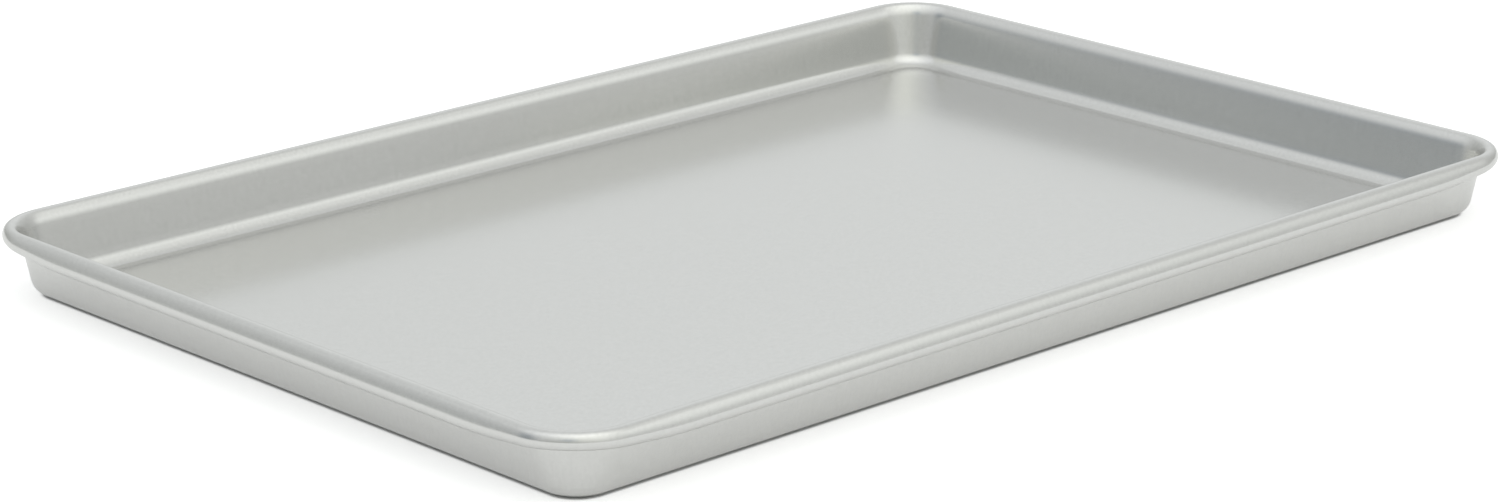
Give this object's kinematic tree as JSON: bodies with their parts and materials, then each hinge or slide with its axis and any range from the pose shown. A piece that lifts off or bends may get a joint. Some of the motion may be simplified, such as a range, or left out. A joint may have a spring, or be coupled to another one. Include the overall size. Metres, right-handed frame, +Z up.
{
  "type": "rimmed baking sheet",
  "caption": "Shallow rectangular metal baking sheet with drafted walls, rounded corners and an edge rolled round a stiffening wire.",
  "frame": {"origin": "centre of the underside, on the surface that the sheet stands on", "axes": "+X along the long side, +Y along the short side, +Z up out of the tray"},
  "size_m": [0.438, 0.299, 0.024],
  "materials": {
    "aluminised_steel": "satin",
    "drawn_wire": "dull drawn"
  },
  "bodies": {
    "root": {"tray_shell": "aluminised_steel", "rim_wire": "drawn_wire"}
  },
  "joints": []
}
